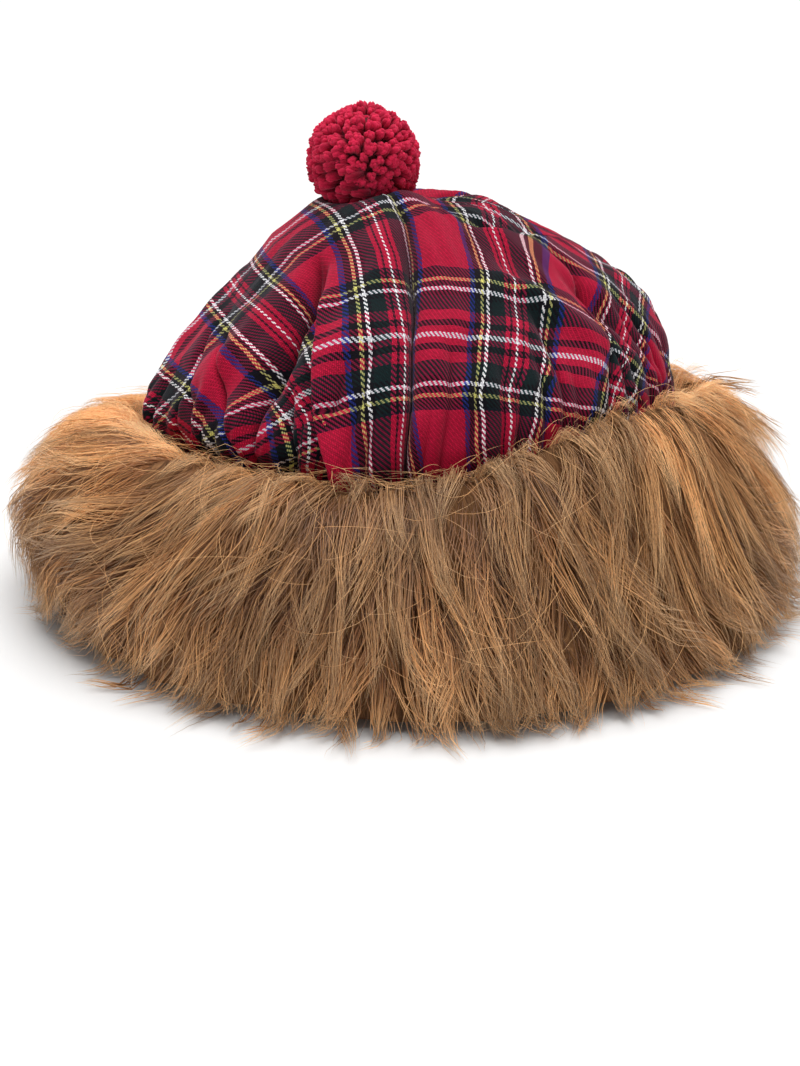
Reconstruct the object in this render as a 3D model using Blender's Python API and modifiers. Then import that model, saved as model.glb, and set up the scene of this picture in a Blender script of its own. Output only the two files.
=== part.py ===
"""A tartan tam with a gathered cloth crown, a long-pile fur band and a yarn pompom.

Metres, +Z up, front towards -Y. The origin is on the surface that the hat stands on,
under the middle of the hat. Azimuths are in degrees: 0 at the front, 90 at +X.
"""

import math
import random

import bmesh
import bpy
from mathutils import Vector

# Crown: driving dimensions.
CROWN_WIDTH = 0.256
CROWN_DEPTH = 0.238
CROWN_RISE = 0.094
WIDEST_HEIGHT = 0.090
CLOTH = 0.002
FOLD_DEPTH = 0.016
GATHER_DEPTH = 0.0028
GATHER_COUNT = 21
BUTTON_SIDE = -0.024
BUTTON_BACK = 0.014
BUTTON_HOLE = 0.0032
CASING_HEIGHT = 0.005

# Head opening and fur band: driving dimensions.
HEAD_OPENING = 0.184
RIM_HEIGHT = 0.065
BACKING = 0.003
HEM_WIDTH = 0.006
BAND_FLARE = 0.005
PILE_REACH = 0.092
PILE_UNDERSIDE = 0.002
LOCK_WIDTH = 0.024
LOCK_HEIGHT = 0.007
LOCK_LIFT = 0.006
LOCK_OVERHANG = 0.007

# Pompom: driving dimensions.
POMPOM_WIDTH = 0.058
TUFT_WIDTH = 0.0150
TUFT_HEIGHT = 0.0060
TUFT_COUNT = 35
TIE_LENGTH = 0.006
KNOT_WIDTH = 0.011
KNOT_HEIGHT = 0.004

# Pieces that touch keep this gap.
GAP = 0.0003

# How finely the faceted solids are drawn.
CROWN_SEGMENTS = 84
BAND_SEGMENTS = 36
SEED = 11

RIM_RADIUS = HEAD_OPENING / 2

# The crown's sections from the button down to the widest ring. "out" is a share of the
# half width, "up" a share of the rise, "side" the centre's place across the hat as a
# share of the half width, and "back" its place behind the middle as one of BUTTON_BACK.
CROWN_SECTIONS = [
    {"out": 0.06, "up": 0.90, "side": -0.19, "back": 1.00},
    {"out": 0.15, "up": 0.94, "side": -0.16, "back": 0.90},
    {"out": 0.31, "up": 0.97, "side": -0.06, "back": 0.70},
    {"out": 0.48, "up": 0.85, "side": -0.01, "back": 0.45},
    {"out": 0.67, "up": 0.66, "side": 0.04, "back": 0.25},
    {"out": 0.81, "up": 0.49, "side": 0.045, "back": 0.10},
    {"out": 0.925, "up": 0.29, "side": 0.035, "back": 0.00},
    {"out": 0.985, "up": 0.11, "side": 0.01, "back": 0.00},
    {"out": 1.00, "up": 0.00, "side": 0.00, "back": 0.00},
]

# The sections under the bulge, from the widest ring in to the gathered casing. "in" is a
# share of the way to the rim's radius, and "down" of the way to the casing's top.
UNDER_SECTIONS = [
    {"in": 0.12, "down": 0.50},
    {"in": 0.40, "down": 0.80},
    {"in": 0.72, "down": 0.94},
]

# The main folds of the slack cloth. Each runs from the azimuth "top" to the azimuth
# "rim", between the shares "start" and "end" of the way from the button to the widest
# ring. "wide" is its half width in degrees, "deep" a share of FOLD_DEPTH, and "lip" the
# share by which the cloth stands up beside it, on the side of higher azimuth.
FOLDS = [
    {"top": -2, "rim": -3, "start": 0.20, "end": 1.20, "wide": 9, "deep": 0.80, "lip": 0.35},
    {"top": -52, "rim": -14, "start": 0.42, "end": 1.20, "wide": 9, "deep": 0.65, "lip": 0.80},
    {"top": -37, "rim": -38, "start": 0.46, "end": 1.08, "wide": 9, "deep": 1.00, "lip": -0.20},
    {"top": -72, "rim": -44, "start": 0.68, "end": 1.20, "wide": 8, "deep": 0.50, "lip": 0.20},
    {"top": -86, "rim": -62, "start": 0.62, "end": 1.15, "wide": 9, "deep": 0.50, "lip": 0.15},
    {"top": 80, "rim": 42, "start": 0.56, "end": 1.15, "wide": 9, "deep": 0.90, "lip": 0.15},
    {"top": 96, "rim": 40, "start": 0.16, "end": 0.60, "wide": 16, "deep": 0.55, "lip": 0.20},
    {"top": 100, "rim": 84, "start": 0.50, "end": 1.15, "wide": 11, "deep": 0.60, "lip": 0.30},
    {"top": 128, "rim": 116, "start": 0.20, "end": 1.15, "wide": 13, "deep": 0.85, "lip": 0.40},
    {"top": 158, "rim": 148, "start": 0.45, "end": 1.20, "wide": 11, "deep": 0.65, "lip": 0.30},
    {"top": 176, "rim": 184, "start": 0.15, "end": 1.15, "wide": 13, "deep": 0.90, "lip": 0.35},
    {"top": 208, "rim": 218, "start": 0.45, "end": 1.20, "wide": 11, "deep": 0.65, "lip": 0.30},
    {"top": 236, "rim": 252, "start": 0.20, "end": 1.15, "wide": 13, "deep": 0.80, "lip": 0.40},
]

# The pile's outer curve, from the seam under the bulge out to the floor. "out" is a share
# of PILE_REACH beyond the backing, "up" a share of WIDEST_HEIGHT, and "oval" how far the
# section follows the crown's oval.
PILE_SECTIONS = [
    {"out": 0.06, "up": 0.65, "oval": 0.0},
    {"out": 0.30, "up": 0.71, "oval": 1.0},
    {"out": 0.45, "up": 0.92, "oval": 1.0},
    {"out": 0.54, "up": 0.99, "oval": 1.0},
    {"out": 0.67, "up": 0.85, "oval": 0.6},
    {"out": 0.82, "up": 0.58, "oval": 0.2},
    {"out": 0.94, "up": 0.28, "oval": 0.0},
    {"out": 1.00, "up": 0.035, "oval": 0.0},
]

# The tiers of fur locks, top to hem. "start" and "end" are shares of the way down the
# pile's curve, "wide" and "high" are shares of the lock's driving sizes, and "sweep" is
# how far it leans sideways, in degrees.
LOCK_TIERS = [
    {"count": 16, "start": 0.26, "end": 0.68, "wide": 1.05, "high": 1.00, "sweep": 6},
    {"count": 20, "start": 0.42, "end": 0.86, "wide": 1.15, "high": 1.00, "sweep": 7},
    {"count": 36, "start": 0.60, "end": 1.00, "wide": 1.15, "high": 0.90, "sweep": 3},
]

# The pile's reach by azimuth, as a share of PILE_REACH.
PILE_OUTLINE = [
    {"azimuth": 0, "reach": 0.98},
    {"azimuth": 45, "reach": 1.00},
    {"azimuth": 90, "reach": 1.00},
    {"azimuth": 135, "reach": 0.98},
    {"azimuth": 180, "reach": 0.98},
    {"azimuth": 225, "reach": 0.98},
    {"azimuth": 270, "reach": 1.00},
    {"azimuth": 315, "reach": 1.00},
]

COLOURS = {
    "tartan": (0.45, 0.02, 0.05),
    "fur": (0.42, 0.22, 0.10),
    "yarn": (0.50, 0.02, 0.05),
}


def clear_scene():
    for obj in list(bpy.data.objects):
        bpy.data.objects.remove(obj, do_unlink=True)


def collection(name):
    made = bpy.data.collections.new(name)
    bpy.context.scene.collection.children.link(made)
    return made


def material(name, colour, roughness):
    made = bpy.data.materials.new(name)
    made.use_nodes = True
    shader = made.node_tree.nodes["Principled BSDF"]
    shader.inputs["Base Color"].default_value = (*colour, 1.0)
    shader.inputs["Roughness"].default_value = roughness
    shader.inputs["Metallic"].default_value = 0.0
    return made


def mesh_object(name, verts, faces, into):
    mesh = bpy.data.meshes.new(name)
    mesh.from_pydata(verts, [], faces)
    mesh.update()
    obj = bpy.data.objects.new(name, mesh)
    into.objects.link(obj)
    return obj


def heading(azimuth):
    """The level unit vector at an azimuth in degrees."""
    turn = math.radians(azimuth)
    return Vector((math.sin(turn), -math.cos(turn), 0.0))


def between(rows, share, column):
    """A smooth value of a table's column at a share of the way down its rows."""
    place = max(0.0, min(1.0, share)) * (len(rows) - 1)
    row = min(int(place), len(rows) - 2)
    t = place - row
    near = [rows[max(0, min(len(rows) - 1, row + k))][column] for k in (-1, 0, 1, 2)]
    a, b, c, d = near
    return 0.5 * (
        2 * b + (c - a) * t + (2 * a - 5 * b + 4 * c - d) * t ** 2 + (3 * b - a - 3 * c + d) * t ** 3
    )


def around(rows, azimuth, column):
    """A smooth value of a column whose rows are evenly spaced in azimuth."""
    count = len(rows)
    place = (azimuth % 360.0) / 360.0 * count
    row = int(place) % count
    blend = 0.5 - 0.5 * math.cos(math.pi * (place - int(place)))
    return rows[row][column] * (1 - blend) + rows[(row + 1) % count][column] * blend


def fold_offset(share, azimuth):
    """How far the folds move the cloth outwards there, in metres."""
    total = 0.0
    for fold in FOLDS:
        if not fold["start"] < share < fold["end"]:
            continue
        along = (share - fold["start"]) / (fold["end"] - fold["start"])
        strength = math.sin(math.pi * along ** 0.8) ** 0.7
        centre = fold["top"] + (fold["rim"] - fold["top"]) * min(1.0, share)
        away = ((azimuth - centre + 180.0) % 360.0 - 180.0) / fold["wide"]
        groove = math.exp(-(away ** 2) * 1.6)
        lip = math.exp(-((away - 1.5) ** 2) * 1.6)
        total += FOLD_DEPTH * fold["deep"] * strength * (fold["lip"] * lip - groove)
    return total


def gather_offset(share, azimuth):
    """The small even puckers of the gathered cloth, strongest under the bulge."""
    strength = max(0.0, min(1.0, (share - 0.72) / 0.36))
    return GATHER_DEPTH * strength * math.cos(math.radians(azimuth) * GATHER_COUNT)


def crown_point(share, azimuth):
    """A point on the crown's outer surface; the widest ring is at share 1."""
    out, up, side, back = [
        between(CROWN_SECTIONS, share, column) for column in ("out", "up", "side", "back")
    ]
    way = heading(azimuth)
    offset = fold_offset(share, azimuth) + gather_offset(share, azimuth)
    lift = 1.0 - share ** 2
    x = CROWN_WIDTH / 2 * (side + way.x * out) + way.x * offset * (1 - lift)
    y = BUTTON_BACK * back + CROWN_DEPTH / 2 * way.y * out + way.y * offset * (1 - lift)
    return Vector((x, y, WIDEST_HEIGHT + CROWN_RISE * up + offset * lift))


def crown_rings():
    """The crown's outer surface as rings of points, from the button hole to the casing."""
    azimuths = [360.0 * k / CROWN_SEGMENTS for k in range(CROWN_SEGMENTS)]
    last = len(CROWN_SECTIONS) - 1
    button = button_point()
    rings = [[button + heading(a) * BUTTON_HOLE for a in azimuths]]
    rings += [[crown_point(k / last, a) for a in azimuths] for k in range(last + 1)]
    widest_ring = rings[-1]
    casing_top = RIM_HEIGHT + CASING_HEIGHT
    casing_radius = RIM_RADIUS + CLOTH
    for row in UNDER_SECTIONS:
        ring = []
        for widest in widest_ring:
            height = widest.z + (casing_top - widest.z) * row["down"]
            radius = widest.xy.length + (casing_radius - widest.xy.length) * row["in"]
            way = Vector((widest.x, widest.y, 0.0)).normalized()
            ring.append(way * radius + Vector((0, 0, height)))
        rings.append(ring)
    for height in (casing_top, RIM_HEIGHT):
        rings.append([heading(a) * casing_radius + Vector((0, 0, height)) for a in azimuths])
    return rings


def button_point():
    """The middle of the crown's button, where the tie goes through."""
    height = WIDEST_HEIGHT + CROWN_RISE * CROWN_SECTIONS[0]["up"]
    return Vector((BUTTON_SIDE, BUTTON_BACK, height))


def lofted(rings, closed_section=False):
    """Quads between neighbouring rings; closed_section joins the last ring to the first."""
    count = len(rings[0])
    verts = [point for ring in rings for point in ring]
    faces = []
    pairs = len(rings) if closed_section else len(rings) - 1
    for k in range(pairs):
        low, high = k * count, (k + 1) % len(rings) * count
        for j in range(count):
            nxt = (j + 1) % count
            faces.append((low + j, high + j, high + nxt, low + nxt))
    return verts, faces


def make_crown(into, paint):
    """The gathered cloth shell, open at the casing, with a small hole for the tie."""
    verts, faces = lofted(crown_rings())
    crown = mesh_object("crown", verts, faces, into)
    wall = crown.modifiers.new("wall", "SOLIDIFY")
    wall.thickness = CLOTH
    wall.offset = -1.0
    crown.data.materials.append(paint)
    crown.data.shade_smooth()
    return crown


def pile_profile(azimuth, share):
    """(radius, height) of the pile's outer curve at a share of the way down it."""
    reach = PILE_REACH * around(PILE_OUTLINE, azimuth, "reach")
    radius = RIM_RADIUS + BACKING + reach * between(PILE_SECTIONS, share, "out")
    narrow = (1.0 - CROWN_DEPTH / CROWN_WIDTH) * heading(azimuth).y ** 2
    radius *= 1.0 - narrow * between(PILE_SECTIONS, share, "oval")
    return Vector((radius, WIDEST_HEIGHT * between(PILE_SECTIONS, share, "up")))


def pile_point(azimuth, share, rise=0.0):
    """A point a little above the pile's outer curve, square to it."""
    here = pile_profile(azimuth, share)
    along = pile_profile(azimuth, min(1.0, share + 0.02))
    along -= pile_profile(azimuth, max(0.0, share - 0.02))
    square = Vector((-along.y, along.x)).normalized()
    at = here + square * rise
    return heading(azimuth) * at.x + Vector((0, 0, at.y))


def band_section(azimuth):
    """The band's closed section: hem, inner wall, seam edge, pile and underside."""
    way = heading(azimuth)

    def at(radius, height):
        return way * radius + Vector((0, 0, height))

    seam = RIM_HEIGHT - GAP
    hem = RIM_RADIUS + BAND_FLARE
    points = [
        at(hem + BACKING + HEM_WIDTH, 0.0),
        at(hem, 0.0),
        at(RIM_RADIUS, seam / 2),
        at(RIM_RADIUS, seam),
        at(RIM_RADIUS + BACKING, seam),
    ]
    last = len(PILE_SECTIONS) - 1
    points += [pile_point(azimuth, k / last) for k in range(last + 1)]
    points.append(at(hem + BACKING + HEM_WIDTH, PILE_UNDERSIDE))
    return points


def lock_rings(azimuth, tier, reach, rng):
    """One lock as rings of four points: a flattened spindle that ends in a tip."""
    width = LOCK_WIDTH * tier["wide"] * rng.uniform(0.85, 1.15) / 2
    height = LOCK_HEIGHT * tier["high"] * rng.uniform(0.85, 1.15)
    sweep = tier["sweep"] * rng.uniform(-1.0, 1.0) * (reach < 1.0)
    steps = 3
    rings = []
    for k in range(steps + 1):
        along = k / steps
        share = tier["start"] + (tier["end"] - tier["start"]) * along
        here = azimuth + sweep * along ** 2
        lift = height * math.sin(math.pi * (0.12 + 0.5 * along)) + LOCK_LIFT * along ** 2
        lift += LOCK_OVERHANG * reach * along ** 4
        crest = pile_point(here, share, lift)
        if k == steps:
            rings.append([crest])
            continue
        spread = width * (1.0 - 0.15 * along - 0.6 * along ** 3)
        foot = pile_point(here, share, -height * 0.7)
        middle = pile_point(here, share, lift * 0.6 * along ** 2 - height * 0.2)
        side = heading(here + 90.0)
        rings.append([crest, middle + side * spread, foot, middle - side * spread])
    return rings


def spindle(bm, rings):
    """Adds a closed lofted solid whose last ring is one point."""
    loops = [[bm.verts.new(point) for point in ring] for ring in rings]
    count = len(loops[0])
    for low, high in zip(loops, loops[1:]):
        for j in range(count):
            nxt = (j + 1) % count
            if len(high) == 1:
                bm.faces.new((low[j], low[nxt], high[0]))
            else:
                bm.faces.new((low[j], low[nxt], high[nxt], high[j]))
    bm.faces.new(list(reversed(loops[0])))


def make_fur_band(into, helpers, paint):
    """The fur strip: its knitted backing stands on its hem, and the pile falls outwards."""
    azimuths = [360.0 * k / BAND_SEGMENTS for k in range(BAND_SEGMENTS)]
    sections = [band_section(a) for a in azimuths]
    rings = [[section[k] for section in sections] for k in range(len(sections[0]))]
    verts, faces = lofted(rings, closed_section=True)
    band = mesh_object("fur_band", verts, faces, into)
    band.data.materials.append(paint)

    rng = random.Random(SEED)
    bm = bmesh.new()
    for number, tier in enumerate(LOCK_TIERS):
        for k in range(tier["count"]):
            main_lock = number == len(LOCK_TIERS) - 1 and k % (tier["count"] // 4) == 0
            azimuth = 360.0 * (k + 0.5 * (number % 2)) / tier["count"]
            if main_lock:
                reach = 1.0
            else:
                azimuth += rng.uniform(-2.5, 2.5)
                reach = rng.uniform(0.35, 0.85)
            spindle(bm, lock_rings(azimuth, tier, reach, rng))
    join(band, helper_object("fur_locks", bm, helpers))
    return band


def helper_object(name, bm, helpers):
    bmesh.ops.recalc_face_normals(bm, faces=bm.faces)
    bmesh.ops.triangulate(bm, faces=bm.faces)
    mesh = bpy.data.meshes.new(name)
    bm.to_mesh(mesh)
    bm.free()
    helper = bpy.data.objects.new(name, mesh)
    helper.hide_render = True
    helper.display_type = "WIRE"
    helpers.objects.link(helper)
    return helper


def join(obj, helper):
    """Fuses the helper's crossing solids to the object."""
    obj.modifiers.new("flat faces", "TRIANGULATE")
    union = obj.modifiers.new("fuse", "BOOLEAN")
    union.operation = "UNION"
    union.object = helper
    union.solver = "EXACT"
    union.use_self = True


def make_pompom(into, helpers, paint):
    """The yarn ball on the button, with the tie that holds it and its knot inside."""
    radius = POMPOM_WIDTH / 2 - TUFT_HEIGHT
    button = button_point()
    centre = button + Vector((0, 0, GAP + POMPOM_WIDTH / 2))
    bm = bmesh.new()
    bmesh.ops.create_icosphere(bm, subdivisions=2, radius=radius)
    bmesh.ops.translate(bm, verts=bm.verts, vec=centre)
    mesh = bpy.data.meshes.new("pompom")
    bm.to_mesh(mesh)
    bm.free()
    pompom = bpy.data.objects.new("pompom", mesh)
    into.objects.link(pompom)
    pompom.data.materials.append(paint)

    bm = bmesh.new()
    rng = random.Random(SEED)
    golden = math.pi * (3.0 - math.sqrt(5.0))
    for k in range(TUFT_COUNT):
        level = 1.0 - 2.0 * (k + 0.5) / TUFT_COUNT
        if level < -0.93:
            continue
        ring = math.sqrt(1.0 - level ** 2)
        way = Vector((ring * math.cos(golden * k), ring * math.sin(golden * k), level))
        tip = radius + TUFT_HEIGHT * rng.uniform(0.75, 1.0)
        width = TUFT_WIDTH / 2 * rng.uniform(0.9, 1.1)
        spindle(bm, tuft_rings(centre, way, radius, tip, width))
    tie_from = button.z - CLOTH - TIE_LENGTH
    add_drum(bm, centre.xy, tie_from, centre.z, BUTTON_HOLE - GAP * 2)
    add_knot(bm, centre.xy, tie_from)
    join(pompom, helper_object("pompom_tufts", bm, helpers))
    return pompom


def tuft_rings(centre, way, inner, tip, width):
    """A short round-ended bundle of yarn that stands out along way."""
    side = way.orthogonal().normalized()
    other = way.cross(side)
    rings = []
    for depth, spread in ((-0.5, 0.80), (0.55, 0.95)):
        ring = []
        for k in range(5):
            turn = 2 * math.pi * k / 5
            flat = side * math.cos(turn) + other * math.sin(turn)
            ring.append(centre + way * (inner + (tip - inner) * depth) + flat * width * spread)
        rings.append(ring)
    rings.append([centre + way * tip])
    return rings


def add_drum(bm, place, low, high, radius):
    made = bmesh.ops.create_cone(
        bm, cap_ends=True, segments=8, radius1=radius, radius2=radius, depth=high - low
    )
    bmesh.ops.translate(bm, verts=made["verts"], vec=(*place, (low + high) / 2))


def add_knot(bm, place, level):
    made = bmesh.ops.create_uvsphere(bm, u_segments=8, v_segments=5, radius=KNOT_WIDTH / 2)
    bmesh.ops.scale(bm, verts=made["verts"], vec=(1, 1, KNOT_HEIGHT / KNOT_WIDTH))
    bmesh.ops.translate(bm, verts=made["verts"], vec=(*place, level))


def main():
    clear_scene()
    hat = collection("tam")
    helpers = collection("tam_helpers")
    make_crown(hat, material("tartan", COLOURS["tartan"], 0.85))
    make_fur_band(hat, helpers, material("fur", COLOURS["fur"], 0.75))
    make_pompom(hat, helpers, material("yarn", COLOURS["yarn"], 0.80))


main()
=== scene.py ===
"""The looks of the tartan tam: cloth crown, long-pile fur band and yarn pompom.

Metres, +Z up, front towards -Y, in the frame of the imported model. Azimuths are in
degrees: 0 at the front, 90 at +X. Lengths along the cloth are in millimetres.
"""

import math

import bpy
import numpy as np
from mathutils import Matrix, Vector


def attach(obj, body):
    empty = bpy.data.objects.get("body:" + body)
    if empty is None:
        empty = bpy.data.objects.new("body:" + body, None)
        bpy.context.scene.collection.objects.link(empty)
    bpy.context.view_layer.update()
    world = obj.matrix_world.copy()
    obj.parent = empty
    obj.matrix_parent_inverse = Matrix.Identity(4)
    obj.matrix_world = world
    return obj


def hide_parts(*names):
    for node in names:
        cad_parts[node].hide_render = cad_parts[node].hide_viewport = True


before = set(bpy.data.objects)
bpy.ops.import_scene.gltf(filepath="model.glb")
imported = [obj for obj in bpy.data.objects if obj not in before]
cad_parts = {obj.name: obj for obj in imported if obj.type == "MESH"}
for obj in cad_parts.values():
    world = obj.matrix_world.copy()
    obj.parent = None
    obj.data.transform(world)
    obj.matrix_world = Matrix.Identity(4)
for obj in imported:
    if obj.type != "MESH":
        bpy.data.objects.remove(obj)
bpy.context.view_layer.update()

SCENE = bpy.context.scene
MM = 0.001
UP = np.array([0.0, 0.0, 1.0])

# The same driving sizes as the model's source.
CROWN_WIDTH = 0.256
CROWN_DEPTH = 0.238
CROWN_RISE = 0.094
WIDEST_HEIGHT = 0.090
CLOTH = 0.002
BUTTON_SIDE = -0.024
BUTTON_BACK = 0.014
CASING_HEIGHT = 0.005
RIM_RADIUS = 0.092
RIM_HEIGHT = 0.065
BACKING = 0.003
BAND_FLARE = 0.005
PILE_REACH = 0.092

CROWN_SECTIONS = {
    "out": [0.06, 0.15, 0.31, 0.48, 0.67, 0.81, 0.925, 0.985, 1.00],
    "up": [0.90, 0.94, 0.97, 0.85, 0.66, 0.49, 0.29, 0.11, 0.00],
    "side": [-0.19, -0.16, -0.06, -0.01, 0.04, 0.045, 0.035, 0.01, 0.00],
    "back": [1.00, 0.90, 0.70, 0.45, 0.25, 0.10, 0.00, 0.00, 0.00],
}
UNDER_SECTIONS = {
    "in": [0.0, 0.12, 0.40, 0.72, 1.0, 1.0],
    "down": [0.0, 0.50, 0.80, 0.94, 1.0, 1.25],
}
PILE_SECTIONS = {
    "out": [0.06, 0.30, 0.45, 0.54, 0.67, 0.82, 0.94, 1.00],
    "up": [0.65, 0.71, 0.92, 0.99, 0.85, 0.58, 0.28, 0.035],
    "oval": [0.0, 1.0, 1.0, 1.0, 0.6, 0.2, 0.0, 0.0],
}


def between(values, share):
    """A smooth curve through evenly spaced values, at shares from 0 to 1."""
    v = np.asarray(values, float)
    place = np.clip(share, 0.0, 1.0) * (len(v) - 1)
    row = np.minimum(place.astype(int), len(v) - 2)
    t = place - row
    a, b, c, d = (v[np.clip(row + k, 0, len(v) - 1)] for k in (-1, 0, 1, 2))
    return 0.5 * (2 * b + (c - a) * t + (2 * a - 5 * b + 4 * c - d) * t ** 2
                  + (3 * b - a - 3 * c + d) * t ** 3)


def smooth(low, high, x):
    t = np.clip((x - low) / (high - low), 0.0, 1.0)
    return t * t * (3 - 2 * t)


def wrapped(degrees):
    """Degrees brought between -180 and 180."""
    return (degrees + 180.0) % 360.0 - 180.0


def at_place(rows, place):
    """Values between the rows of a short table of places and values."""
    return np.interp(place, *zip(*rows))


def table(columns, *rows):
    """Rows of values as dicts, by the names of the columns."""
    return [dict(zip(columns.split(), row)) for row in rows]


def unit(v):
    return v / np.maximum(np.linalg.norm(v, axis=-1, keepdims=True), 1e-12)


def heading(azimuth):
    """Level unit vectors at azimuths in radians."""
    azimuth = np.asarray(azimuth, float)
    return np.stack([np.sin(azimuth), -np.cos(azimuth), np.zeros_like(azimuth)], -1)


def full_turn(count):
    """A count of azimuths in radians, evenly spaced all round."""
    return np.arange(count) * 2 * math.pi / count


def waves(points, count, low, high, seed):
    """Smooth seeded noise of about -1 to 1 at 2-D points, from crossing waves."""
    rng = np.random.default_rng(seed)
    total = np.zeros(points.shape[:-1])
    for _ in range(count):
        length = math.exp(rng.uniform(math.log(low), math.log(high)))
        turn = rng.uniform(0, 2 * math.pi)
        kx, ky = math.cos(turn), math.sin(turn)
        phase = rng.uniform(0, 2 * math.pi)
        total += np.sin(2 * math.pi / length * (kx * points[..., 0] + ky * points[..., 1]) + phase)
    return total / math.sqrt(count)


def mesh_object(name, points, triangles):
    """An object of smooth-shaded triangles."""
    mesh = bpy.data.meshes.new(name)
    points = np.asarray(points, np.float32).reshape(-1, 3)
    triangles = np.asarray(triangles, np.int32).reshape(-1, 3)
    mesh.vertices.add(len(points))
    mesh.vertices.foreach_set("co", points.ravel())
    mesh.loops.add(triangles.size)
    mesh.loops.foreach_set("vertex_index", triangles.ravel())
    mesh.polygons.add(len(triangles))
    mesh.polygons.foreach_set("loop_start", np.arange(0, triangles.size, 3, dtype=np.int32))
    mesh.update(calc_edges=True)
    mesh.polygons.foreach_set("use_smooth", np.ones(len(triangles), bool))
    obj = bpy.data.objects.new(name, mesh)
    SCENE.collection.objects.link(obj)
    return obj


def give(obj, name, values):
    """A number on each vertex, for the material to read."""
    made = obj.data.attributes.new(name, "FLOAT", "POINT")
    made.data.foreach_set("value", np.asarray(values, np.float32).ravel())


def finish_piece(obj, node, material):
    obj.data.materials.append(material)
    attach(obj, "root")
    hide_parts(node)


def ring_grid(rows, columns, closed_rows=False):
    """Triangles of a grid of points whose columns go round."""
    r = np.arange(rows if closed_rows else rows - 1)[:, None]
    c = np.arange(columns)[None, :]
    a = r * columns + c
    b = r * columns + (c + 1) % columns
    d = (r + 1) % rows * columns + c
    e = (r + 1) % rows * columns + (c + 1) % columns
    return np.concatenate([np.stack([a, d, e], -1).reshape(-1, 3),
                           np.stack([a, e, b], -1).reshape(-1, 3)])


def rgb(red, green, blue):
    """A display colour of 0 to 255 as the linear values that a node takes."""
    return tuple(c / 12.92 if c <= 0.04045 else ((c + 0.055) / 1.055) ** 2.4
                 for c in (red / 255, green / 255, blue / 255)) + (1.0,)


class Nodes:
    """Short calls for building a material's nodes."""

    def __init__(self, name, roughness, **inputs):
        self.material = bpy.data.materials.new(name)
        self.material.use_nodes = True
        self.tree = self.material.node_tree
        self.shader = self.tree.nodes["Principled BSDF"]
        self.set("Roughness", roughness)
        for key, value in inputs.items():
            self.set(key.replace("_", " "), value)

    def feed(self, socket, value):
        if isinstance(value, bpy.types.NodeSocket):
            self.tree.links.new(value, socket)
        else:
            socket.default_value = value

    def set(self, key, value):
        self.feed(self.shader.inputs[key], value)

    def node(self, kind, *values, output=0, settings=None, **named):
        """A new node's output. The values go to its inputs in order, and None leaves one out."""
        made = self.tree.nodes.new(kind)
        for key, value in (settings or {}).items():
            setattr(made, key, value)
        for key, value in [*enumerate(values), *named.items()]:
            if value is not None:
                self.feed(made.inputs[key], value)
        return made.outputs[output]

    def math(self, operation, a, b=0.0):
        return self.node("ShaderNodeMath", a, b, settings={"operation": operation})

    def add(self, a, b):
        return self.math("ADD", a, b)

    def less(self, a, b):
        return self.math("SUBTRACT", a, b)

    def times(self, a, b):
        return self.math("MULTIPLY", a, b)

    def multiply(self, a, b):
        """Two colours multiplied."""
        return self.mix(1.0, a, b, "MULTIPLY")

    def split(self, vector):
        made = self.tree.nodes.new("ShaderNodeSeparateXYZ")
        self.tree.links.new(vector, made.inputs[0])
        return made.outputs

    def combine(self, x=0.0, y=0.0, z=0.0):
        return self.node("ShaderNodeCombineXYZ", x, y, z)

    def ramp(self, factor, stops, mode="LINEAR"):
        made = self.tree.nodes.new("ShaderNodeValToRGB")
        ramp = made.color_ramp
        ramp.interpolation = mode
        while len(ramp.elements) < len(stops):
            ramp.elements.new(1.0)
        for element, (place, colour) in zip(ramp.elements, sorted(stops, key=lambda s: s[0])):
            element.position = place
            element.color = colour
        self.tree.links.new(factor, made.inputs[0])
        return made.outputs[0]

    def mix(self, factor, a, b, blend="MIX"):
        settings = {"data_type": "RGBA", "blend_type": blend}
        return self.node("ShaderNodeMix", factor, *[None] * 5, a, b, output=2, settings=settings)

    def noise(self, scale, detail, vector):
        return self.node("ShaderNodeTexNoise", Scale=scale, Detail=detail, Vector=vector)

    def attribute(self, name):
        return self.node("ShaderNodeAttribute", output=2, settings={"attribute_name": name})

    def bump(self, height, distance, strength=1.0):
        made = self.node("ShaderNodeBump", Height=height, Distance=distance, Strength=strength)
        self.set("Normal", made)


# The camera, the floor and the light
TARGET = Vector((0.0, 0.0, 0.090))
TARGET_PIXEL = (416, 392)
FRAME_SIZE = (800, 1066)
ELEVATION = math.radians(16.0)
DISTANCE = 0.75
FOCAL = 1530.6
SENSOR = 36.0
CLIP = (0.05, 20.0)
WORLD_STRENGTH = 0.24
HORIZON_STRENGTH = 1.0
HORIZON_TOP = 0.10
SKY_FROM = 0.18
SUN_STRENGTH = 3.5
SUN_FROM = (0.03, 0.08, 1.0)
SUN_ANGLE = math.radians(58)
FLOOR_GREY = 0.80
FLOOR_SIDE = 40.0
FLOOR_DROP = 0.0002


def make_camera():
    data = bpy.data.cameras.new("camera")
    camera = bpy.data.objects.new("camera", data)
    SCENE.collection.objects.link(camera)
    data.sensor_width = data.sensor_height = SENSOR
    data.sensor_fit = "AUTO"
    data.lens = FOCAL * SENSOR / FRAME_SIZE[1]
    data.clip_start, data.clip_end = CLIP
    back = Vector((0.0, -math.cos(ELEVATION), math.sin(ELEVATION)))
    lift = Vector((0.0, math.sin(ELEVATION), math.cos(ELEVATION)))
    camera.location = TARGET + back * DISTANCE
    aim = (TARGET - Vector((1, 0, 0)) * (TARGET_PIXEL[0] - FRAME_SIZE[0] / 2) / FOCAL * DISTANCE
           - lift * (FRAME_SIZE[1] / 2 - TARGET_PIXEL[1]) / FOCAL * DISTANCE)
    camera.rotation_euler = (aim - camera.location).to_track_quat("-Z", "Y").to_euler()
    SCENE.camera = camera


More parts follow.
